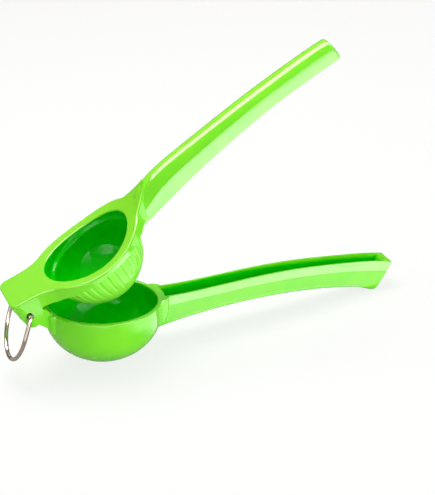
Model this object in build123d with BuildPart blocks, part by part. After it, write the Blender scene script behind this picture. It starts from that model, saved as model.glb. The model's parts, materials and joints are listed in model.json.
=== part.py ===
"""Hinged lemon squeezer: two cast arms on a tubular pin, with a wire hanging ring.

Millimetres, +Z up. The squeezer stands on Z = 0, on the cup's round bottom and the heel of
the cup arm's handle, with the handles towards +X and the hinge axis along Y. The origin is
the middle of its footprint. Each arm is drawn in its own frame, whose origin is the hinge
axis, whose x runs along the arm to the handle's end and whose z is the arm's upper side.
"""
import os
from math import acos, atan, atan2, cos, degrees, hypot, radians, sin, sqrt

from build123d import *

os.makedirs("parts", exist_ok=True)

# ---------------------------------------------------------------- driving dimensions

# how the squeezer stands
open_angle = 35.7  # between the two arms
ring_lean = 16.8  # of the hanging ring, from the cup's own axis, away from the cup

# the cup, the lower bowl
cup_x = 44.8  # from the hinge axis to the middle of the cup
rim_drop = 4.2  # from the hinge axis down to the cup's rim
cup_radius = 32.7
cup_wall = 2.4
cup_band = 6.0  # straight part of the wall under the rim
cup_depth = 33.8  # from the rim to the bottom, outside
rim_outer_round = 0.9
rim_inner_round = 0.8
drain_diameter = 4.5
drain_ring_radius = 11.0
drain_count = 6

# the cup arm's handle, a channel open at the top: x, half width, top, underside
cup_grip_sections = [
    (60.0, 10.2, -4.2, -25.6),
    (84.0, 9.2, -4.1, -20.3),
    (112.0, 8.6, -1.9, -16.1),
    (154.0, 8.1, 0.6, -13.6),
    (196.0, 7.9, -1.0, -16.6),
]
heel_sections = [(204.4, 8.1, -2.0, -19.3), (219.0, 8.5, -4.0, -19.3)]
channel_end_section = (219.0, 8.5, -4.0, -17.2)
# its top, seen from the side
grip_crest_points = [(112.6, -2.3), (154.0, 0.5), (190.0, -0.4), (205.0, -1.4), (218.0, -3.2)]
grip_crest_fall = 0.16  # slope of the top at its end
grip_end_x = 216.5  # tip of the handle
grip_end_drop = 3.1
heel_x = 205.9  # lowest corner, under the slanted end
heel_drop = 19.3
grip_web = 4.2  # wall between the cup and the channel
grip_wall = 2.4
grip_floor = 2.6
grip_end_wall = 3.0
grip_facet_drop = 4.6  # height of the leaning upper band of each side
grip_facet_lean = 1.1
grip_spare = 1.0  # the sections are drawn this much taller, and the top is then cut to its line
grip_web_x = 80.0  # the top is level with the cup's rim as far as this
grip_bottom_round = 3.0
grip_channel_round = 1.8
# rounds between the cup and the handle: depth below the hinge axis, half width there, radius
grip_flare_sections = [
    (4.2, 8.3, 6.0),
    (8.8, 9.35, 6.0),
    (13.0, 9.4, 5.5),
    (18.0, 9.5, 4.0),
    (21.0, 9.6, 1.5),
]

# hinge
pin_diameter = 4.4  # of the tubular pin
pin_bore = 3.3
pin_recess = 1.2  # of each end, below the cheek's face
pin_running_gap = 0.06  # radial, in the cup arm's barrel
barrel_radius = 5.4
barrel_width = 22.0
barrel_side_gap = 0.35
barrel_slot_gap = 0.5  # round the barrel, in the press arm's slot
neck_shelf_x = 10.0  # the neck's top is level with the hinge axis as far as this
neck_rim_x = 14.0  # where its slope reaches the cup's rim
neck_inner_x = 18.0  # how far it runs into the cup's wall
neck_inner_drop = 16.2
neck_heel_x = 2.0  # where its underside leaves the barrel
neck_heel_drop = 5.8
neck_flare_sections = [
    (4.2, 11.0, 4.0),
    (8.0, 11.0, 4.0),
    (12.0, 11.0, 3.0),
    (15.5, 11.0, 1.2),
]

# the press arm's hinge block and flange
cheek_radius = 7.1
block_width = 34.4
block_end = 5.0  # from the hinge axis to the top edge of the block's leaning end
block_end_height = 10.3
block_corner = 4.5
flange_radius = 34.5
flange_x = 47.0
flange_seat = 2.6  # from the hinge axis down to the flange's flat underside
saddle_fall = (18.0, 5.5)  # the saddle's top, between the block and its lowest point
saddle_low_x = 51.0
saddle_rise = [(73.0, 2.7), (86.0, 7.4)]  # and between that and the web's tip
web_tip = (93.0, 11.2)
web_tip_width = 5.0
web_root_x = 66.0
web_root_width = 47.8
cheek_start = -42.0  # where the cheek's round end starts, as an angle about the hinge axis
flange_edge_round = 0.9
block_flare = 20.0
web_flare = 10.0
notch_x = 8.1  # where the block's skirt meets the cheek
notch_drop = 0.4
skirt_bend = (12.5, -1.4)
skirt_x = 17.0  # where the skirt reaches the flange's underside
slot_roof = 0.8  # height of the slot's roof over the neck

# the press bowl
bowl_x = 46.6  # from the hinge axis to its middle
press_radius = 27.4  # outside, over the ribs between the flutes
press_wall = 2.2
press_drop = 4.0  # from the hinge axis down to the middle of the bowl's sphere
opening_radius = 26.7
opening_round = 1.2
mouth_band = 0.6  # straight part of the opening below the saddle's lowest point
flute_count = 36
flute_radius = 1.5
flute_depth = 0.9
flute_drop = 1.35  # from the sphere's middle down to that of the flutes, so that they fade out below
flute_sweep = 34.0  # angle that a flute runs down the bowl

# the press arm's handle: x, half width, crest, underside
press_grip_sections = [
    (76.0, 11.2, 0.2, -5.2),
    (99.8, 9.7, 11.4, -3.5),
    (123.5, 9.25, 11.6, -1.8),
    (147.3, 9.0, 10.95, -1.0),
    (171.1, 8.8, 9.9, -1.2),
    (194.8, 8.6, 8.2, -2.8),
    (218.6, 8.4, 5.3, -5.0),
]
press_grip_side = 3.8  # height of the upright part of each side
press_grip_wall = 2.4
press_grip_end_wall = 4.0
press_channel_start_x = 87.0  # where the channel under it starts
press_grip_end_round = 1.6

# hanging ring
wire_diameter = 2.3
ring_height = 31.4  # from the hinge axis to the wire's middle at the bottom
ring_side_gap = 0.45  # between the wire and the cheek
ring_bend = 2.4
ring_tail = 8.0  # straight end of the wire inside the pin

# how closely an edge is matched when it is picked by its place
fit_tolerance = 0.01

# ---------------------------------------------------------------- worked out from them

barrel_slot = barrel_width + 2 * barrel_side_gap
pin_length = block_width - 2 * pin_recess
web_tip_x = web_tip[0]
press_channel_end_x = press_grip_sections[-1][0] - press_grip_end_wall
flute_reach = press_radius + flute_radius - flute_depth
ring_leg = block_width / 2 + ring_side_gap + wire_diameter / 2
cup_oval_drop = rim_drop + cup_band  # middle of the oval that rounds the cup
cup_oval_height = cup_depth - cup_band
cup_inner_radius = cup_radius - cup_wall
bowl_inner_radius = press_radius - press_wall
block_end_reach = hypot(block_end, block_end_height)
# the block's end is a straight line that touches the cheek's round
cheek_stop = degrees(atan2(block_end_height, -block_end) + acos(cheek_radius / block_end_reach))

# the arm leans until the heel is down: a line that touches the cup's oval and the heel
heel_run = heel_x - cup_x
heel_rise = cup_oval_drop - heel_drop
slope_a = heel_run**2 - cup_radius**2
slope_c = heel_rise**2 - cup_oval_height**2
rest_slope = (heel_run * heel_rise + sqrt((heel_run * heel_rise) ** 2 - slope_a * slope_c)) / slope_a
rest_tilt = degrees(atan(rest_slope))

lean_sin = sin(radians(rest_tilt))
lean_cos = cos(radians(rest_tilt))
cup_reach = hypot(cup_radius * lean_sin, cup_oval_height * lean_cos)
hinge_height = cup_reach + cup_x * lean_sin + cup_oval_drop * lean_cos

tip_reach = grip_end_x * lean_cos - grip_end_drop * lean_sin
ring_reach = ring_height * sin(radians(rest_tilt + ring_lean)) + wire_diameter / 2
hinge_x = (ring_reach - tip_reach) / 2

cup_frame = Plane(Location((hinge_x, 0, hinge_height), (0, rest_tilt, 0)))
press_frame = Plane(Location((hinge_x, 0, hinge_height), (0, rest_tilt - open_angle, 0)))
ring_frame = Plane(Location((hinge_x, 0, hinge_height), (0, rest_tilt + ring_lean, 0)))


def on(frame, plane):
    """The plane, given in an arm's own axes, where that arm lies."""
    return Plane(frame.location * plane.location)


def upright(frame, x):
    """An arm's axis that stands at x, square to the arm."""
    return Axis(frame.from_local_coords((x, 0, 0)), frame.z_dir)


def edges_round(piece, axis, radius):
    """The piece's edges that run round the axis at that radius, lowest first."""
    off_axis = axis.direction.cross(Vector(0, 1, 0))
    found = [
        edge
        for edge in piece.edges()
        if all(
            abs(hypot((point - axis.position).dot(off_axis), point.Y) - radius) < fit_tolerance
            for point in (edge @ 0, edge @ 0.5, edge @ 1)
        )
    ]
    return ShapeList(found).sort_by(axis)


# ---------------------------------------------------------------- cup arm

end_plane = on(
    cup_frame,
    Plane(
        origin=(grip_end_x, 0, -grip_end_drop),
        x_dir=(0, 1, 0),
        z_dir=(heel_drop - grip_end_drop, 0, heel_x - grip_end_x),
    ),
)


def grip_section(x, half_width, top, underside):
    """Cross-section of the cup arm's handle: leaning upper bands, rounded lower edges."""
    shoulder = top - grip_facet_drop
    crown = half_width - grip_facet_lean * (1 + grip_spare / grip_facet_drop)
    with BuildSketch(on(cup_frame, Plane.YZ.offset(x))) as section:
        with BuildLine():
            Polyline(
                (-half_width, underside),
                (half_width, underside),
                (half_width, shoulder),
                (crown, top + grip_spare),
                (-crown, top + grip_spare),
                (-half_width, shoulder),
                close=True,
            )
        outline = make_face()
        fillet(outline.vertices().group_by(Axis.Y)[0], grip_bottom_round)
    return section.sketch.face()


def channel_section(x, half_width, top, underside):
    """Cross-section of the channel, which is open above."""
    side = half_width - grip_wall
    with BuildSketch(on(cup_frame, Plane.YZ.offset(x))) as section:
        with BuildLine():
            Polyline(
                (-side, underside + grip_floor),
                (side, underside + grip_floor),
                (side, top + 2 * grip_spare),
                (-side, top + 2 * grip_spare),
                close=True,
            )
        outline = make_face()
        fillet(outline.vertices().group_by(Axis.Y)[0], grip_channel_round)
    return section.sketch.face()


def flare_section(side_sign, drop, side, radius):
    """Plan of the concave round between the cup and what stands out of it, at one depth.

    side_sign is 1 towards the handle and -1 towards the barrel; side is the half width there.
    """
    below = max(0.0, drop - cup_oval_drop) / cup_oval_height
    wall_radius = cup_radius * sqrt(1 - below**2)
    reach = sqrt((wall_radius + radius) ** 2 - (side + radius) ** 2)
    share = wall_radius / (wall_radius + radius)
    with BuildSketch(on(cup_frame, Plane.XY.offset(-drop))) as section:
        with BuildLine():
            start = (cup_x + side_sign * reach, side)
            end = (cup_x + side_sign * reach * share, (side + radius) * share)
            RadiusArc(start, end, -side_sign * radius)
            Polyline(end, (cup_x + side_sign * (wall_radius - cup_wall), cup_wall), start)
        make_face()
    return section.sketch.face()


with BuildPart() as cup_grip:
    loft([grip_section(*row) for row in cup_grip_sections])
    loft([grip_section(*row) for row in (cup_grip_sections[-1], *heel_sections)], ruled=True)
    split(bisect_by=end_plane, keep=Keep.BOTTOM)
    with BuildSketch(on(cup_frame, Plane.XZ.offset(-cup_radius))):
        with BuildLine():
            web = Line((cup_x, -rim_drop), (grip_web_x, -rim_drop))
            crest = Spline(web @ 1, *grip_crest_points, tangents=[(1, 0), (1, -grip_crest_fall)])
            Polyline(
                crest @ 1,
                (grip_end_x + cup_depth, cup_depth),
                (cup_x, cup_depth),
                web @ 0,
            )
        make_face()
    extrude(amount=2 * cup_radius, mode=Mode.SUBTRACT)

with BuildPart() as channel:
    loft([channel_section(*row) for row in cup_grip_sections])
    loft([channel_section(*row) for row in (cup_grip_sections[-1], channel_end_section)], ruled=True)
    split(bisect_by=end_plane.offset(-grip_end_wall), keep=Keep.BOTTOM)
    with BuildSketch(on(cup_frame, Plane.XY.offset(-2 * cup_depth))):
        with Locations((cup_x, 0)):
            Circle(cup_radius - cup_wall + grip_web)
    extrude(amount=4 * cup_depth, mode=Mode.SUBTRACT)

with BuildPart() as flares:
    loft([flare_section(1, *row) for row in grip_flare_sections])
    loft([flare_section(-1, *row) for row in neck_flare_sections])
    mirror(about=Plane.XZ)

with BuildPart() as neck:
    with BuildSketch(on(cup_frame, Plane.XZ.offset(-barrel_width / 2))):
        Circle(barrel_radius)
        with BuildLine():
            Polyline(
                (0, 0),
                (neck_shelf_x, 0),
                (neck_rim_x, -rim_drop),
                (neck_inner_x, -rim_drop),
                (neck_inner_x, -neck_inner_drop),
                (neck_heel_x, -neck_heel_drop),
                close=True,
            )
        make_face()
    extrude(amount=barrel_width)

with BuildPart() as cup_arm:
    with BuildSketch(on(cup_frame, Plane.XZ)):
        with BuildLine():
            rim = Line((cup_x, -rim_drop), (cup_x + cup_radius - rim_outer_round, -rim_drop))
            lip = RadiusArc(rim @ 1, (cup_x + cup_radius, -rim_drop - rim_outer_round), rim_outer_round)
            side = Line(lip @ 1, (cup_x + cup_radius, -cup_oval_drop))
            oval = EllipticalCenterArc(
                (cup_x, -cup_oval_drop), cup_radius, cup_oval_height, start_angle=0, arc_size=-90
            )
            Line(oval @ 1, rim @ 0)
        make_face()
    revolve(axis=upright(cup_frame, cup_x))
    add(cup_grip.part)
    add(neck.part)
    add(flares.part)
    # the channel in the handle
    add(channel.part, mode=Mode.SUBTRACT)
    # the cup's inside
    with BuildSketch(on(cup_frame, Plane.XZ)):
        with BuildLine():
            mouth = Line((cup_x, 0), (cup_x + cup_inner_radius, 0))
            side = Line(mouth @ 1, (cup_x + cup_inner_radius, -cup_oval_drop))
            oval = EllipticalCenterArc(
                (cup_x, -cup_oval_drop),
                cup_inner_radius,
                cup_oval_height - cup_wall,
                start_angle=0,
                arc_size=-90,
            )
            Line(oval @ 1, mouth @ 0)
        make_face()
    revolve(axis=upright(cup_frame, cup_x), mode=Mode.SUBTRACT)
    fillet(edges_round(cup_arm, upright(cup_frame, cup_x), cup_inner_radius)[-1], rim_inner_round)
    # drain holes
    with BuildSketch(on(cup_frame, Plane.XY.offset(-rim_drop - cup_depth))):
        with Locations((cup_x, 0)):
            Circle(drain_diameter / 2)
            with PolarLocations(drain_ring_radius, drain_count):
                Circle(drain_diameter / 2)
    extrude(amount=cup_depth - cup_wall, mode=Mode.SUBTRACT)
    # the pin's bore
    with BuildSketch(on(cup_frame, Plane.XZ.offset(-barrel_width))):
        Circle(pin_diameter / 2 + pin_running_gap)
    extrude(amount=2 * barrel_width, mode=Mode.SUBTRACT)
cup_arm.part.label = "cup_arm"
export_step(cup_arm.part, "parts/cup_arm.step")

# ---------------------------------------------------------------- press arm


def press_section(x, half_width, crest, underside):
    """Cross-section of the press arm's handle: upright sides under a half oval."""
    eaves = underside + press_grip_side
    with BuildSketch(on(press_frame, Plane.YZ.offset(x))) as section:
        with BuildLine():
            Polyline(
                (-half_width, eaves),
                (-half_width, underside),
                (half_width, underside),
                (half_width, eaves),
            )
            EllipticalCenterArc((0, eaves), half_width, crest - eaves, start_angle=0, arc_size=180)
        make_face()
    return section.sketch.face()


with BuildPart() as press_channel:
    wall = press_grip_wall
    loft(
        [
            press_section(x, half_width - wall, crest - wall, underside - wall)
            for x, half_width, crest, underside in press_grip_sections
        ]
    )
    split(bisect_by=on(press_frame, Plane.YZ.offset(press_channel_start_x)), keep=Keep.TOP)
    split(bisect_by=on(press_frame, Plane.YZ.offset(press_channel_end_x)), keep=Keep.BOTTOM)

with BuildPart() as press_grip:
    loft([press_section(*row) for row in press_grip_sections])
    end = press_grip.faces().sort_by(Axis(press_frame.origin, press_frame.x_dir))[-1]
    fillet(end.edges(), press_grip_end_round)
    add(press_channel.part, mode=Mode.SUBTRACT)

# one flute's cutter, at the middle of the bowl's sphere: a rod that bends along the sphere and leaves it
with BuildPart() as flute:
    with BuildSketch(Plane.XY.offset(-flute_drop)) as flute_round:
        with Locations((flute_reach, 0)):
            Circle(flute_radius)
    revolve(axis=Axis((0, 0, -flute_drop), (0, 1, 0)), revolution_arc=flute_sweep)
    extrude(flute_round.sketch, amount=flute_drop + press_drop - flange_seat)

with BuildPart() as press_arm:
    # the hinge block, the flange and the web that runs up the handle: plan, then side view
    with BuildSketch(on(press_frame, Plane.XY.offset(-cheek_radius))):
        with Locations((flange_x, 0)):
            Circle(flange_radius)
        with BuildLine():
            Polyline(
                (-block_end, -block_width / 2),
                (flange_x, -block_width / 2),
                (flange_x, block_width / 2),
                (-block_end, block_width / 2),
                close=True,
            )
        make_face()
        with BuildLine():
            Polyline(
                (web_root_x, -web_root_width / 2),
                (web_tip_x, -web_tip_width / 2),
                (web_tip_x, web_tip_width / 2),
                (web_root_x, web_root_width / 2),
                close=True,
            )
        make_face()
        fillet(vertices().group_by(Axis.X)[0], block_corner)
        block_meets_flange = vertices().filter_by_position(Axis.X, skirt_x, flange_x - flange_radius / 2)
        fillet(block_meets_flange, block_flare)
        web_meets_flange = vertices().filter_by_position(
            Axis.X, flange_x, web_tip_x, inclusive=(False, False)
        )
        fillet(web_meets_flange, web_flare)
    extrude(amount=3 * cheek_radius)
    with BuildSketch(on(press_frame, Plane.XZ.offset(-flange_radius))):
        with BuildLine():
            saddle = Spline(
                (-block_end, block_end_height), saddle_fall, (saddle_low_x, 0), *saddle_rise, web_tip
            )
            tip = Line(saddle @ 1, (web_tip_x, -flange_seat))
            seat = Line(tip @ 1, (skirt_x, -flange_seat))
            skirt = ThreePointArc(seat @ 1, skirt_bend, (notch_x, -notch_drop))
            round_end = CenterArc((0, 0), cheek_radius, cheek_start, cheek_stop - cheek_start - 360)
            Line(skirt @ 1, round_end @ 0)
            Line(round_end @ 1, saddle @ 0)
        make_face()
    extrude(amount=2 * flange_radius, mode=Mode.INTERSECT)
    top = press_arm.faces().filter_by(GeomType.PLANE, reverse=True).sort_by(SortBy.AREA)[-1]
    rim_edges = top.edges().filter_by(GeomType.LINE, reverse=True)
    fillet(rim_edges, flange_edge_round)
    add(press_grip.part)
    with BuildSketch(on(press_frame, Plane.XZ)):
        with BuildLine():
            Polyline(
                (bowl_x, -flange_seat),
                (bowl_x + press_radius, -flange_seat),
                (bowl_x + press_radius, -press_drop),
            )
            CenterArc((bowl_x, -press_drop), press_radius, 0, -90)
            Line((bowl_x, -press_drop - press_radius), (bowl_x, -flange_seat))
        make_face()
    revolve(axis=upright(press_frame, bowl_x))
    with Locations(on(press_frame, Plane((bowl_x, 0, -press_drop)))):
        with PolarLocations(0, flute_count, start_angle=180 / flute_count):
            add(flute.part, mode=Mode.SUBTRACT)
    with BuildSketch(on(press_frame, Plane.XZ)):
        with BuildLine():
            top = Line((bowl_x, block_end_height), (bowl_x + opening_radius, block_end_height))
            mouth = Line(top @ 1, (bowl_x + opening_radius, -mouth_band))
            hollow = CenterArc((bowl_x, -press_drop), bowl_inner_radius, 0, -90)
            Spline(mouth @ 1, hollow @ 0, tangents=[(0, -1), (0, -1)])
            Line(hollow @ 1, top @ 0)
        make_face()
    revolve(axis=upright(press_frame, bowl_x), mode=Mode.SUBTRACT)
    mouth_edges = edges_round(press_arm, upright(press_frame, bowl_x), opening_radius)
    fillet(mouth_edges.filter_by(GeomType.CIRCLE, reverse=True), opening_round)
    # the slot between the cheeks, for the cup arm's barrel and neck
    with BuildSketch(on(press_frame, Plane.XZ.offset(-barrel_slot / 2))):
        Circle(barrel_radius + barrel_slot_gap)
        with BuildLine():
            Polyline(
                (0, slot_roof),
                (skirt_x, slot_roof),
                (skirt_x, -2 * cheek_radius),
                (-2 * cheek_radius, -2 * cheek_radius),
                (-2 * cheek_radius, 0),
                (0, 0),
                close=True,
            )
        make_face()
    extrude(amount=barrel_slot, mode=Mode.SUBTRACT)
    with BuildSketch(on(press_frame, Plane.XZ.offset(-block_width))):
        Circle(pin_diameter / 2)
    extrude(amount=2 * block_width, mode=Mode.SUBTRACT)
press_arm.part.label = "press_arm"
export_step(press_arm.part, "parts/press_arm.step")

# ---------------------------------------------------------------- pin and ring

with BuildPart() as hinge_pin:
    with BuildSketch(on(press_frame, Plane.XZ.offset(-pin_length / 2))):
        Circle(pin_diameter / 2)
        Circle(pin_bore / 2, mode=Mode.SUBTRACT)
    extrude(amount=pin_length)
hinge_pin.part.label = "hinge_pin"
export_step(hinge_pin.part, "parts/hinge_pin.step")

with BuildPart() as hanging_ring:
    with BuildLine(on(ring_frame, Plane.YZ)) as wire:
        tail = Line((-ring_leg + ring_bend + ring_tail, 0), (-ring_leg + ring_bend, 0))
        bend = CenterArc((-ring_leg + ring_bend, -ring_bend), ring_bend, 90, 90)
        leg = Line(bend @ 1, (-ring_leg, ring_leg - ring_height))
        bow = ThreePointArc(leg @ 1, (0, -ring_height), (ring_leg, ring_leg - ring_height))
        other_leg = Line(bow @ 1, (ring_leg, -ring_bend))
        other_bend = CenterArc((ring_leg - ring_bend, -ring_bend), ring_bend, 0, 90)
        Line(other_bend @ 1, (ring_leg - ring_bend - ring_tail, 0))
    with BuildSketch(Plane(origin=wire.line @ 0, z_dir=wire.line % 0)):
        Circle(wire_diameter / 2)
    sweep(path=wire.line)
hanging_ring.part.label = "hanging_ring"
export_step(hanging_ring.part, "parts/hanging_ring.step")
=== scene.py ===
"""Looks of the hinged lemon squeezer: glossy enamel on cast arms, steel pin, chrome ring."""
import json
import math

import bpy
from mathutils import Matrix, Vector

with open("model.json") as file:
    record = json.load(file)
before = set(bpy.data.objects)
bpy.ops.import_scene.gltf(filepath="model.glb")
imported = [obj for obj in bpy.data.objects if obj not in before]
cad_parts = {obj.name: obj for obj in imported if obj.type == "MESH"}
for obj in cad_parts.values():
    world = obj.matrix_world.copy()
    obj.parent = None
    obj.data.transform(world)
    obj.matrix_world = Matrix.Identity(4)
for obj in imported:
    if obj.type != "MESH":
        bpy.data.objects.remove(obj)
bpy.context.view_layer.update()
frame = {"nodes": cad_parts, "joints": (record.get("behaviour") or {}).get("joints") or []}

MM = 0.001

# ---------------------------------------------------------------- where the arms lie

HINGE = Vector(frame["joints"][0]["pos_m"])
CUP_TILT = math.radians(6.714)  # of the cup arm, its handle's end down
PRESS_LIFT = math.radians(35.7)  # of the press arm, from the cup arm
PRESS_TILT = CUP_TILT - PRESS_LIFT

# ---------------------------------------------------------------- hollows and ribs

# in the arms' own axes from the hinge, in millimetres; a drop is a depth below the hinge
CUP_X, CUP_MIDDLE_DROP, CUP_RIM_DROP = 44.8, 10.2, 4.2
CUP_HOLLOW, CUP_HOLLOW_DEPTH = 30.3, 25.4
CUP_FADE = (0.5, 1.6)  # depth below the cup's rim over which its painted shade sets in
BOWL_X, BOWL_MIDDLE_DROP = 46.6, 4.0
BOWL_HOLLOW, BOWL_OUTSIDE = 25.2, 28.3  # radii
BOWL_MOUTH, BOWL_MOUTH_DROP = 26.9, 2.4
RIB_FADE = (-2.2, -3.4)  # heights between which the ribs' painted sheen and thinner coat set in
CHANNEL_X = 79.0  # where it begins, past the cup
CHANNEL_SIDE, CHANNEL_FLOOR = 7.2, 5.2  # half widths
CHANNEL_FADE = (0.2, 2.6)  # depth below its top over which the painted shade deepens
CREST_X, CREST_TOP, CREST_CURVE = 154.0, 0.5, 0.00093  # the channel's top, a low arch

# as shares
HOLLOW_EDGE = (1.02, 1.045)  # of a hollow's radius, over which it ends
LEVEL_WALL = (0.5, 0.7)  # how level a face gets, over which it stops being a wall of the channel
END_WALL = 0.4  # how far a face of the channel can look along the handle
LEVEL_TOP_LIGHT = (0.8, 0.95)  # how level a top is, over which the painted top light sets in

# ---------------------------------------------------------------- finishes

LIME = (0.195, 0.81, 0.014, 1.0)
LIME_PALE = (0.225, 0.83, 0.018, 1.0)  # its lighter clouds, and the painted top light on the cup arm's level tops
LIME_TOP_LIGHT = (0.27, 0.86, 0.016, 1.0)  # painted top light on the press arm's level tops, lighter and warmer
LIME_RIB_SHEEN = (0.275, 0.88, 0.06, 1.0)  # painted sheen on the press bowl's ribs, paler than the enamel
LIME_HOLLOW_SHADE = (0.001, 0.68, 0.0005, 1.0)  # painted shade in the cup and the channel, a darker, deeper green
LIME_BOWL_SHADE = (0.001, 0.6, 0.0005, 1.0)  # and painted shade, darker still, in the press bowl
HOLLOW_GLOSS = 0.25  # share of the clear coat that is left in the hollows
RIB_GLOSS = 0.6  # on the ribs
RUBBED_GLOSS = 0.9  # and where hands have rubbed it
COAT_ROUGHNESS = 0.07
COAT_IOR = 1.5
LIME_ROUGHNESS = (0.45, 0.6)  # under the coat, untouched and rubbed
LIME_BUMP = (0.1, 0.4 * MM)  # strength and height

STEEL = (0.48, 0.47, 0.46, 1.0)
STEEL_ROUGHNESS = 0.3
CHROME = (0.7, 0.57, 0.5, 1.0)
CHROME_ROUGHNESS = 0.08
METAL_SHADE = 0.8  # share of a metal's colour in its darker clouds
METAL_HEIGHTS = (0.3, 0.7)  # of its skin, over which its roughness goes up
METAL_SPREAD = (0.6, 1.5)  # the shares of its roughness there
METAL_BUMP = (0.05, 0.1 * MM)

# a skin's noises: scales are per millimetre, and a pair is the noise over which a mark sets in
LIME_SWELL, LIME_PEEL, LIME_PEEL_SHARE = 0.05, 0.7, 0.2
METAL_SWELL, METAL_PEEL, METAL_PEEL_SHARE = 0.14, 1.5, 0.6
FINE_DETAIL = 2.0
CLOUDS = (0.35, 0.65)
PATCH_SCALE, PATCHES = 0.03, (0.45, 0.75)
SCUFF_SCALE, SCUFFS = 1.6, (0.45, 0.7)
SCUFF_STRETCH = (0.12, 1.0, 1.0)  # draws the scuffs out along the arm


def empty_tree(owner):
    """The node tree of a material or a world, with nothing in it."""
    owner.use_nodes = True
    owner.node_tree.nodes.clear()
    return owner.node_tree


def feed(tree, socket, value):
    """Links a socket to the value if that is a socket, or else sets it."""
    if isinstance(value, bpy.types.NodeSocket):
        tree.links.new(value, socket)
    else:
        socket.default_value = value


def calc(tree, operation, *values, clamp=False):
    """A Math node on sockets or numbers; gives its output."""
    node = tree.nodes.new("ShaderNodeMath")
    node.operation = operation
    node.use_clamp = clamp
    for socket, value in zip(node.inputs, values):
        feed(tree, socket, value)
    return node.outputs[0]


def overlap(tree, mask, *others):
    """The part of a mask that is in all the others too."""
    for other in others:
        mask = calc(tree, "MULTIPLY", mask, other)
    return mask


def across(tree, first, second):
    """Length across two sides that are square to each other."""
    squares = [calc(tree, "POWER", side, 2.0) for side in (first, second)]
    return calc(tree, "SQRT", calc(tree, "ADD", *squares))


def vector_calc(tree, operation, *values):
    """A Vector Math node on sockets or vectors; gives the node."""
    node = tree.nodes.new("ShaderNodeVectorMath")
    node.operation = operation
    for socket, value in zip(node.inputs, values):
        feed(tree, socket, value)
    return node


def axes(tree, vector):
    """A vector's outputs X, Y and Z."""
    node = tree.nodes.new("ShaderNodeSeparateXYZ")
    feed(tree, node.inputs[0], vector)
    return node.outputs


def ramp(tree, value, start, end, low=0.0, high=1.0):
    """Smooth step of the value from low at start to high at end."""
    node = tree.nodes.new("ShaderNodeMapRange")
    node.interpolation_type = "SMOOTHSTEP"
    for socket, given in zip(node.inputs, (value, start, end, low, high)):
        feed(tree, socket, given)
    return node.outputs[0]


def share_left(tree, mask, share):
    """1 outside the mask, and the share inside it."""
    return ramp(tree, mask, 0.0, 1.0, 1.0, share)


def noise(tree, place, scale, detail=1.0):
    """Noise from 0 to 1 over the place."""
    node = tree.nodes.new("ShaderNodeTexNoise")
    feed(tree, node.inputs["Vector"], place)
    feed(tree, node.inputs["Scale"], scale)
    node.inputs["Detail"].default_value = detail
    return node.outputs["Fac"]


def blend_color(tree, share, first, second):
    """Colour between the first and the second."""
    node = tree.nodes.new("ShaderNodeMix")
    node.data_type = "RGBA"
    feed(tree, node.inputs[0], share)
    feed(tree, node.inputs[6], first)
    feed(tree, node.inputs[7], second)
    return node.outputs[2]


def bump(tree, height, strength, distance):
    """Normal of a surface with that height, distance in metres."""
    node = tree.nodes.new("ShaderNodeBump")
    node.inputs["Strength"].default_value = strength
    node.inputs["Distance"].default_value = distance
    feed(tree, node.inputs["Height"], height)
    return node.outputs["Normal"]


# ---------------------------------------------------------------- shared effects


def group_shell(name, ins, outs):
    """An empty node group, with what it is given and what it puts out."""
    group = bpy.data.node_groups.new(name, "ShaderNodeTree")
    for socket, kind, default in ins:
        made = group.interface.new_socket(socket, in_out="INPUT", socket_type=kind)
        made.default_value = default
    for socket, kind in outs:
        group.interface.new_socket(socket, in_out="OUTPUT", socket_type=kind)
    given = group.nodes.new("NodeGroupInput").outputs
    out = group.nodes.new("NodeGroupOutput").inputs
    return group, given, out


def add_group(tree, group, **values):
    """A copy of a shared effect in a material, with that material's own values; gives its outputs."""
    node = tree.nodes.new("ShaderNodeGroup")
    node.node_tree = group
    for socket, value in values.items():
        feed(tree, node.inputs[socket.replace("_", " ")], value)
    return node.outputs


def build_arm_place():
    """Place on an arm in that arm's own axes, in millimetres, with the surface's direction there."""
    group, given, out = group_shell(
        "arm_place",
        [("Tilt", "NodeSocketFloat", 0.0)],
        [("Place", "NodeSocketVector"), ("Facing", "NodeSocketVector")],
    )
    coords = group.nodes.new("ShaderNodeTexCoord").outputs
    from_hinge = vector_calc(group, "SUBTRACT", coords["Object"], HINGE).outputs[0]
    back = calc(group, "MULTIPLY", given["Tilt"], -1.0)
    for source, target, enlarge in ((from_hinge, "Place", 1 / MM), (coords["Normal"], "Facing", 1.0)):
        turn = group.nodes.new("ShaderNodeVectorRotate")
        turn.inputs["Axis"].default_value = (0.0, 1.0, 0.0)
        feed(group, turn.inputs["Angle"], back)
        feed(group, turn.inputs["Vector"], source)
        scale = vector_calc(group, "SCALE", turn.outputs[0])
        scale.inputs["Scale"].default_value = enlarge
        feed(group, out[target], scale.outputs[0])
    return group


def build_round_hollow():
    """Mask of a round hollow's inside: an oval below its middle, upright above it."""
    group, given, out = group_shell(
        "round_hollow",
        [
            ("Place", "NodeSocketVector", (0.0, 0.0, 0.0)),
            ("Along", "NodeSocketFloat", 0.0),
            ("Drop", "NodeSocketFloat", 0.0),
            ("Radius", "NodeSocketFloat", 1.0),
            ("Depth", "NodeSocketFloat", 1.0),
        ],
        [("Mask", "NodeSocketFloat"), ("Reach", "NodeSocketFloat")],
    )
    x, y, z = axes(group, given["Place"])
    reach = across(group, calc(group, "SUBTRACT", x, given["Along"]), y)
    below = calc(group, "MINIMUM", calc(group, "ADD", z, given["Drop"]), 0.0)
    sideways = calc(group, "DIVIDE", reach, given["Radius"])
    downwards = calc(group, "DIVIDE", below, given["Depth"])
    oval = across(group, sideways, downwards)
    feed(group, out["Mask"], ramp(group, oval, *HOLLOW_EDGE, 1.0, 0.0))
    feed(group, out["Reach"], reach)
    return group


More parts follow.
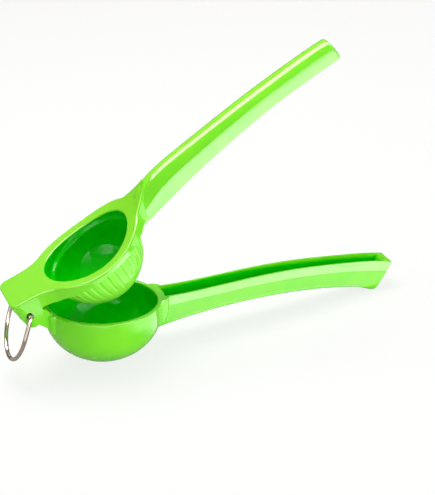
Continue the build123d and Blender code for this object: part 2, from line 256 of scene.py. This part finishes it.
def build_worn_skin():
    """A finish's skin: slow swell with fine peel, clouds in its colour, and rubbed patches."""
    group, given, out = group_shell(
        "worn_skin",
        [
            ("Place", "NodeSocketVector", (0.0, 0.0, 0.0)),
            ("Swell Scale", "NodeSocketFloat", LIME_SWELL),
            ("Peel Scale", "NodeSocketFloat", LIME_PEEL),
            ("Peel Share", "NodeSocketFloat", LIME_PEEL_SHARE),
        ],
        [
            ("Height", "NodeSocketFloat"),
            ("Clouds", "NodeSocketFloat"),
            ("Rubbing", "NodeSocketFloat"),
        ],
    )
    place = given["Place"]
    swell = noise(group, place, given["Swell Scale"])
    peel = noise(group, place, given["Peel Scale"], FINE_DETAIL)
    swell_height = calc(group, "MULTIPLY", swell, calc(group, "SUBTRACT", 1.0, given["Peel Share"]))
    peel_height = calc(group, "MULTIPLY", peel, given["Peel Share"])
    feed(group, out["Height"], calc(group, "ADD", swell_height, peel_height))
    feed(group, out["Clouds"], ramp(group, swell, *CLOUDS))
    patches = ramp(group, noise(group, place, PATCH_SCALE, FINE_DETAIL), *PATCHES)
    drawn_out = vector_calc(group, "MULTIPLY", place, SCUFF_STRETCH).outputs[0]
    scuffs = ramp(group, noise(group, drawn_out, SCUFF_SCALE, FINE_DETAIL), *SCUFFS)
    feed(group, out["Rubbing"], overlap(group, patches, scuffs))
    return group


arm_place = build_arm_place()
round_hollow = build_round_hollow()
worn_skin = build_worn_skin()

# ---------------------------------------------------------------- finishes of the pieces


def new_finish(name):
    """A new material, with its node tree and the inputs of its Principled shader."""
    material = bpy.data.materials.new(name)
    tree = empty_tree(material)
    output = tree.nodes.new("ShaderNodeOutputMaterial")
    shader = tree.nodes.new("ShaderNodeBsdfPrincipled")
    feed(tree, output.inputs["Surface"], shader.outputs["BSDF"])
    return material, tree, shader.inputs


def lime_enamel(name, tilt, top_light_color, hollow_shade_color, hollow_shade_mask, rib_mask=None):
    """Thick glossy lime green enamel, with shade painted darker in the hollows, a painted sheen on the
    ribs and painted top light on level tops.
    """
    material, tree, finish = new_finish(name)
    arm = add_group(tree, arm_place, Tilt=tilt)
    skin = add_group(tree, worn_skin, Place=arm["Place"])
    # painted top light: level faces are tinted lighter and warmer, as the overhead lamp lights them
    level = ramp(tree, axes(tree, arm["Facing"])["Z"], *LEVEL_TOP_LIGHT)
    coat = blend_color(tree, skin["Clouds"], LIME, LIME_PALE)
    coat = blend_color(tree, level, coat, top_light_color)
    hollow = hollow_shade_mask(tree, arm)
    gloss = share_left(tree, hollow, HOLLOW_GLOSS)
    if rib_mask:
        ribs = rib_mask(tree, arm)
        gloss = calc(tree, "MULTIPLY", gloss, share_left(tree, ribs, RIB_GLOSS))
        # painted sheen: the ribs are tinted paler, as a soft milky reflection
        coat = blend_color(tree, ribs, coat, LIME_RIB_SHEEN)
    rubbed_gloss = share_left(tree, skin["Rubbing"], RUBBED_GLOSS)
    # painted shade: the hollows take a darker, deeper green where little light reaches them
    feed(tree, finish["Base Color"], blend_color(tree, hollow, coat, hollow_shade_color))
    feed(tree, finish["Coat Weight"], calc(tree, "MULTIPLY", gloss, rubbed_gloss))
    feed(tree, finish["Roughness"], ramp(tree, skin["Rubbing"], 0.0, 1.0, *LIME_ROUGHNESS))
    feed(tree, finish["Normal"], bump(tree, skin["Height"], *LIME_BUMP))
    finish["Coat Roughness"].default_value = COAT_ROUGHNESS
    finish["Coat IOR"].default_value = COAT_IOR
    finish["Specular IOR Level"].default_value = 0.0
    return material


def cup_hollows(tree, arm):
    """The cup's inside, and the channel in the handle, where shade is painted."""
    cup = add_group(
        tree, round_hollow, Place=arm["Place"], Along=CUP_X, Drop=CUP_MIDDLE_DROP,
        Radius=CUP_HOLLOW, Depth=CUP_HOLLOW_DEPTH,
    )
    place = axes(tree, arm["Place"])
    facing = axes(tree, arm["Facing"])
    below_rim = calc(tree, "SUBTRACT", -CUP_RIM_DROP, place["Z"])
    inside = overlap(tree, cup["Mask"], ramp(tree, below_rim, *CUP_FADE))

    aside = calc(tree, "ABSOLUTE", place["Y"])
    steep = ramp(tree, calc(tree, "ABSOLUTE", facing["Z"]), *LEVEL_WALL, 1.0, 0.0)
    walls = overlap(tree, calc(tree, "LESS_THAN", aside, CHANNEL_SIDE), steep)
    upwards = calc(tree, "GREATER_THAN", facing["Z"], 0.0)
    floor = overlap(tree, calc(tree, "LESS_THAN", aside, CHANNEL_FLOOR), upwards)
    arch = calc(tree, "POWER", calc(tree, "SUBTRACT", place["X"], CREST_X), 2.0)
    crest = calc(tree, "SUBTRACT", CREST_TOP, calc(tree, "MULTIPLY", arch, CREST_CURVE))
    channel = overlap(
        tree,
        calc(tree, "MAXIMUM", walls, floor),
        ramp(tree, calc(tree, "SUBTRACT", crest, place["Z"]), *CHANNEL_FADE),
        calc(tree, "GREATER_THAN", place["X"], CHANNEL_X),
        calc(tree, "LESS_THAN", facing["X"], END_WALL),
    )
    return calc(tree, "MAXIMUM", inside, channel)


def about_bowl(tree, arm, radius):
    """A round hollow of that radius about the press bowl's middle."""
    return add_group(
        tree, round_hollow, Place=arm["Place"], Along=BOWL_X, Drop=BOWL_MIDDLE_DROP,
        Radius=radius, Depth=radius,
    )


def bowl_hollow(tree, arm):
    """The press bowl's inside, up to the edge of its mouth, where shade is painted."""
    bowl = about_bowl(tree, arm, BOWL_HOLLOW)
    height = axes(tree, arm["Place"])["Z"]
    mouth = overlap(
        tree,
        calc(tree, "LESS_THAN", bowl["Reach"], BOWL_MOUTH),
        calc(tree, "GREATER_THAN", height, -BOWL_MOUTH_DROP),
    )
    return calc(tree, "MAXIMUM", bowl["Mask"], mouth)


def bowl_ribs(tree, arm):
    """The press bowl's ribbed outside, below the flange."""
    outside = about_bowl(tree, arm, BOWL_OUTSIDE)["Mask"]
    inside = about_bowl(tree, arm, BOWL_HOLLOW)["Mask"]
    below_flange = ramp(tree, axes(tree, arm["Place"])["Z"], *RIB_FADE)
    return overlap(tree, calc(tree, "SUBTRACT", outside, inside, clamp=True), below_flange)


def bare_metal(name, color, roughness):
    """Polished or drawn metal with faint marks."""
    material, tree, finish = new_finish(name)
    arm = add_group(tree, arm_place, Tilt=0.0)
    skin = add_group(
        tree, worn_skin, Place=arm["Place"],
        Swell_Scale=METAL_SWELL, Peel_Scale=METAL_PEEL, Peel_Share=METAL_PEEL_SHARE,
    )
    shaded = tuple(METAL_SHADE * part for part in color[:3]) + (1.0,)
    smooth, rough = (share * roughness for share in METAL_SPREAD)
    feed(tree, finish["Base Color"], blend_color(tree, skin["Clouds"], color, shaded))
    feed(tree, finish["Roughness"], ramp(tree, skin["Height"], *METAL_HEIGHTS, smooth, rough))
    feed(tree, finish["Normal"], bump(tree, skin["Height"], *METAL_BUMP))
    finish["Metallic"].default_value = 1.0
    return material


def paint(node, material):
    """Gives a CAD node its finish."""
    piece = frame["nodes"][node]
    piece.data.materials.clear()
    piece.data.materials.append(material)


cup_enamel = lime_enamel("cup_enamel_gloss", CUP_TILT, LIME_PALE, LIME_HOLLOW_SHADE, cup_hollows)
press_enamel = lime_enamel(
    "press_enamel_gloss", PRESS_TILT, LIME_TOP_LIGHT, LIME_BOWL_SHADE, bowl_hollow, bowl_ribs
)
paint("cup_arm", cup_enamel)
paint("press_arm", press_enamel)
paint("hinge_pin", bare_metal("pin_drawn_steel", STEEL, STEEL_ROUGHNESS))
paint("hanging_ring", bare_metal("ring_bright_chrome", CHROME, CHROME_ROUGHNESS))

# ---------------------------------------------------------------- floor and room, 1 is white

FLOOR_SIZE = 8.0  # metres
FLOOR_COLOR = (0.93, 0.93, 0.93, 1.0)
FLOOR_GLOW = 0.8  # share of the floor that is plain white to the camera
FLOOR_GLINT = 0.3  # how bright that share is where it is mirrored
ROOM_LIGHT = 0.35  # of the room's light on the object
ROOM_DIM = 0.5  # of the room, as it is mirrored
BACKDROP_DIM = 0.15  # of the backdrop's foot, as it is mirrored
BACKDROP_RISE = (0.1, 0.45)  # how far up a ray goes, over which the backdrop brightens
BACKDROP_START = (-0.1, 0.3)  # how far back a ray goes, over which it comes to the backdrop


def light_path_share(tree, *kinds):
    """1 for the rays of those kinds, and 0 for the others."""
    rays = tree.nodes.new("ShaderNodeLightPath").outputs
    share = rays[kinds[0]]
    for kind in kinds[1:]:
        share = calc(tree, "MAXIMUM", share, rays[kind])
    return share


def mix_surface(tree, output, share, first, second):
    """Feeds the output with a mix of two shaders."""
    mix = tree.nodes.new("ShaderNodeMixShader")
    feed(tree, mix.inputs["Fac"], share)
    feed(tree, mix.inputs[1], first.outputs[0])
    feed(tree, mix.inputs[2], second.outputs[0])
    feed(tree, output.inputs["Surface"], mix.outputs["Shader"])


def build_floor():
    """Pale table that the squeezer stands on, and that keeps its shadow."""
    bpy.ops.object.select_all(action="DESELECT")
    bpy.ops.mesh.primitive_plane_add(size=FLOOR_SIZE, location=(0, 0, 0))
    floor = bpy.context.object
    floor.name = "studio_floor"
    material = bpy.data.materials.new("floor_pale")
    tree = empty_tree(material)
    output = tree.nodes.new("ShaderNodeOutputMaterial")
    cloth = tree.nodes.new("ShaderNodeBsdfDiffuse")
    cloth.inputs["Color"].default_value = FLOOR_COLOR
    glow = tree.nodes.new("ShaderNodeEmission")
    shown = light_path_share(tree, "Is Camera Ray", "Is Glossy Ray")
    bright = calc(tree, "MAXIMUM", light_path_share(tree, "Is Camera Ray"), FLOOR_GLINT)
    feed(tree, glow.inputs["Strength"], bright)
    mix_surface(tree, output, calc(tree, "MULTIPLY", shown, FLOOR_GLOW), cloth, glow)
    floor.data.materials.append(material)


def build_world():
    """White to the camera, a dim room where it is mirrored, and an even, weaker light on the object."""
    world = bpy.data.worlds.new("white_room")
    bpy.context.scene.world = world
    tree = empty_tree(world)
    output = tree.nodes.new("ShaderNodeOutputWorld")
    light = tree.nodes.new("ShaderNodeBackground")
    light.inputs["Strength"].default_value = ROOM_LIGHT
    seen = tree.nodes.new("ShaderNodeBackground")
    way = axes(tree, tree.nodes.new("ShaderNodeTexCoord").outputs["Generated"])
    backdrop = ramp(tree, way["Z"], *BACKDROP_RISE, BACKDROP_DIM, ROOM_DIM)
    room = ramp(tree, way["Y"], *BACKDROP_START, ROOM_DIM, backdrop)
    white = light_path_share(tree, "Is Camera Ray", "Is Transmission Ray")
    feed(tree, seen.inputs["Strength"], calc(tree, "MAXIMUM", room, white))
    shown = light_path_share(tree, "Is Camera Ray", "Is Glossy Ray", "Is Transmission Ray")
    mix_surface(tree, output, shown, light, seen)


# ---------------------------------------------------------------- camera


def build_camera():
    """Long lens, looking slightly down on the open side of the squeezer."""
    swing, drop = math.radians(19.45), math.radians(22.73)  # it looks to the right and down
    distance = 904.0  # millimetres, straight ahead, from the lens to the hinge's middle
    picture_width, picture_height = 435, 495  # pixels, as are the next two
    focal = 1665.5
    hinge_px = (22.9, 304.0)  # the hinge's middle, from the picture's top left corner
    level = math.cos(drop)
    look = Vector((math.sin(swing) * level, math.cos(swing) * level, -math.sin(drop)))
    right = Vector((math.cos(swing), -math.sin(swing), 0))
    up = right.cross(look)
    aside = (hinge_px[0] - picture_width / 2) / focal * distance
    below = (hinge_px[1] - picture_height / 2) / focal * distance
    from_hinge = -(distance * look + aside * right - below * up)
    lean = Matrix.Rotation(CUP_TILT, 3, "Y")
    spot = HINGE + lean @ (from_hinge * MM)
    turn = (lean @ Matrix((right, up, -look)).transposed()).to_4x4()
    camera = bpy.data.cameras.new("camera")
    camera.sensor_fit = "HORIZONTAL"
    camera.sensor_width = 36.0
    camera.lens = focal / picture_width * camera.sensor_width
    camera.clip_end = 20.0
    holder = bpy.data.objects.new("camera", camera)
    bpy.context.collection.objects.link(holder)
    holder.matrix_world = Matrix.Translation(spot) @ turn
    bpy.context.scene.camera = holder


# ---------------------------------------------------------------- lamps

WHITE, WARM = (1.0, 1.0, 1.0), (1.0, 0.98, 0.9)
DOWN, UP, FROM_FRONT = (0, 0, -1), (0, 0, 1), (0, 1, 0)
FADE_POWER = 2.5  # how late a lamp that fades comes up


def fade_in(lamp, axis, dark, full):
    """Fades a lamp's face in along its axis, between those shares of it."""
    lamp.use_nodes = True
    tree = lamp.node_tree
    face = axes(tree, tree.nodes.new("ShaderNodeNewGeometry").outputs["Parametric"])
    share = calc(tree, "POWER", ramp(tree, face[axis], dark, full), FADE_POWER)
    feed(tree, tree.nodes["Emission"].inputs["Strength"], share)


def softbox(name, place, aim, size, brightness, color=WHITE, mirrored=False, fade=None):
    """A rectangular studio lamp at place that shines along aim; size in metres, first along X.

    Its brightness is that of its face, where 1 is white. It either lights the object or is only
    mirrored in it. fade is the axis of its face, and the shares of it where the lamp is dark and
    where it is full.
    """
    lamp = bpy.data.lights.new(name, "AREA")
    lamp.shape = "RECTANGLE"
    lamp.size, lamp.size_y = size
    lamp.energy = brightness * math.pi * size[0] * size[1]
    lamp.color = color
    if fade:
        fade_in(lamp, *fade)
    holder = bpy.data.objects.new(name, lamp)
    bpy.context.collection.objects.link(holder)
    back = -Vector(aim).normalized()
    side = Vector((1, 0, 0))
    side = (side - side.dot(back) * back).normalized()
    turn = Matrix((side, back.cross(side), back)).transposed().to_4x4()
    holder.matrix_world = Matrix.Translation(place) @ turn
    holder.visible_camera = False
    holder.visible_glossy = mirrored
    holder.visible_diffuse = not mirrored


def build_lights():
    """The lamps that light the squeezer."""
    softbox(
        "light_overhead", place=(-0.1, 0.25, 0.95), aim=(0.1, -0.25, -0.9), size=(0.7, 0.7),
        brightness=5.6, color=WARM,
    )
    softbox(
        "light_front", place=(0.35, -0.9, 0.22), aim=(-0.35, 0.9, -0.14), size=(0.9, 0.4),
        brightness=3.3,
    )
    softbox(
        "light_table", place=(0.22, -0.42, 0.01), aim=(-0.28, 0.42, 0.06), size=(0.6, 0.3),
        brightness=1.1,
    )
    softbox(
        "light_right", place=(0.9, -0.4, 0.4), aim=(-0.9, 0.4, -0.32), size=(0.5, 0.5),
        brightness=0.8,
    )


def build_cards():
    """The bank, cards and window that are mirrored in its gloss."""
    softbox(
        "bank_overhead", place=(0.05, 0.34, 0.98), aim=DOWN, size=(1.6, 0.56),
        brightness=12.0, color=WARM, mirrored=True,
    )
    softbox(
        "card_front", place=(0.4, -0.9, 0.7), aim=FROM_FRONT, size=(1.0, 1.4),
        brightness=7.5, mirrored=True, fade=("Y", 1.0, 0.1),
    )
    softbox(
        "card_table", place=(0.38, -0.51, 0.003), aim=UP, size=(0.8, 0.78),
        brightness=8.0, mirrored=True, fade=("Y", 0.0, 0.15),
    )
    softbox(
        "card_table_near", place=(0.095, -0.14, 0.004), aim=UP, size=(0.51, 0.09),
        brightness=2.5, mirrored=True,
    )
    softbox(
        "card_table_bowl", place=(0.15, -0.07, 0.004), aim=UP, size=(0.4, 0.05),
        brightness=2.5, mirrored=True, fade=("X", 0.0, 0.1),
    )
    softbox(
        "card_table_grip", place=(0.155, -0.026, 0.004), aim=UP, size=(0.39, 0.038),
        brightness=2.5, mirrored=True, fade=("X", 0.0, 0.08),
    )
    softbox(
        "card_left", place=(-0.95, -0.33, 0.1), aim=(0.9, 0.3, 0.0), size=(0.4, 0.2),
        brightness=1.6, mirrored=True,
    )
    softbox(
        "card_right", place=(0.95, -0.22, 0.14), aim=(-0.98, 0.2, -0.03), size=(0.3, 0.26),
        brightness=2.5, mirrored=True,
    )
    softbox(
        "window_left", place=(-0.6, -0.62, 0.3), aim=(0.62, 0.65, -0.27), size=(0.8, 0.36),
        brightness=5.5, mirrored=True, fade=("X", 1.0, 0.4),
    )


build_floor()
build_world()
build_camera()
build_lights()
build_cards()

# ---------------------------------------------------------------- view settings

bpy.context.scene.view_settings.view_transform = "Standard"
